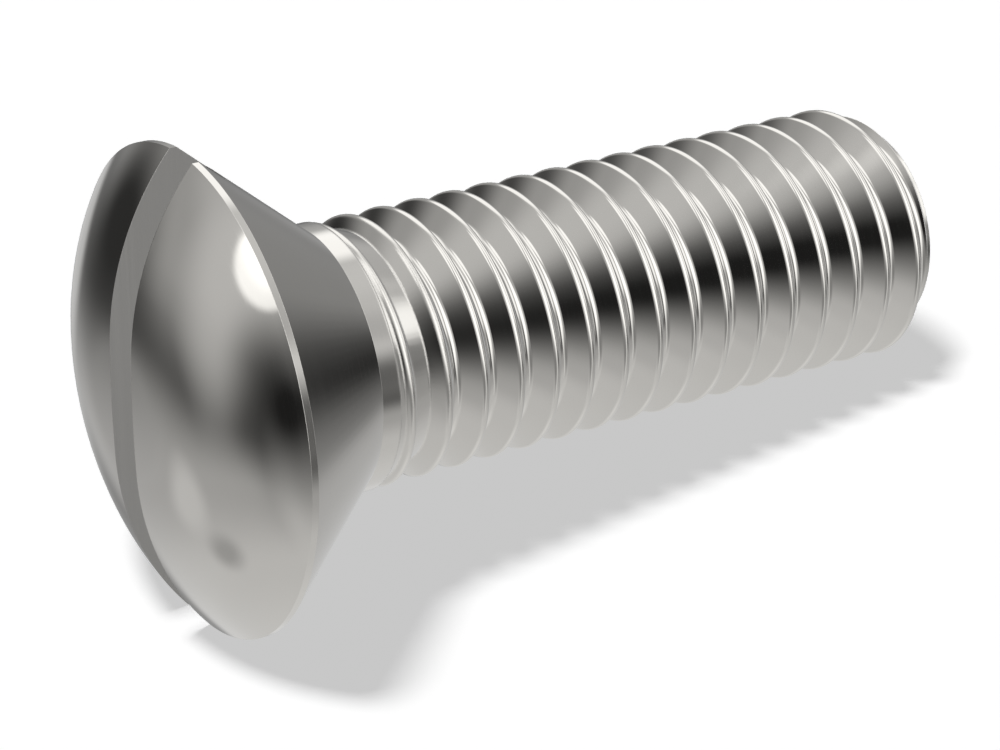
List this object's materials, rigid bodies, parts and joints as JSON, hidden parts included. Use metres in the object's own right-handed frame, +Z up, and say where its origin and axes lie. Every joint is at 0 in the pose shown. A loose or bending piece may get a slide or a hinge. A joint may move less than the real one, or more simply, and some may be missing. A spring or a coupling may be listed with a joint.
{
  "type": "raised countersunk head screw",
  "caption": "Slotted raised countersunk head machine screw, M10 by 30, coarse right-hand thread, bright metal, lying at rest.",
  "frame": {"origin": "on the floor, under the middle of the screw's box as it lies", "axes": "+X from the head towards the tip, which dips by 7.9 degrees; +Y across; +Z up"},
  "size_m": [0.0332, 0.018, 0.0178],
  "materials": {
    "bright_steel": "polished bright, no coating colour"
  },
  "bodies": {
    "root": {"screw": "bright_steel"}
  },
  "joints": []
}
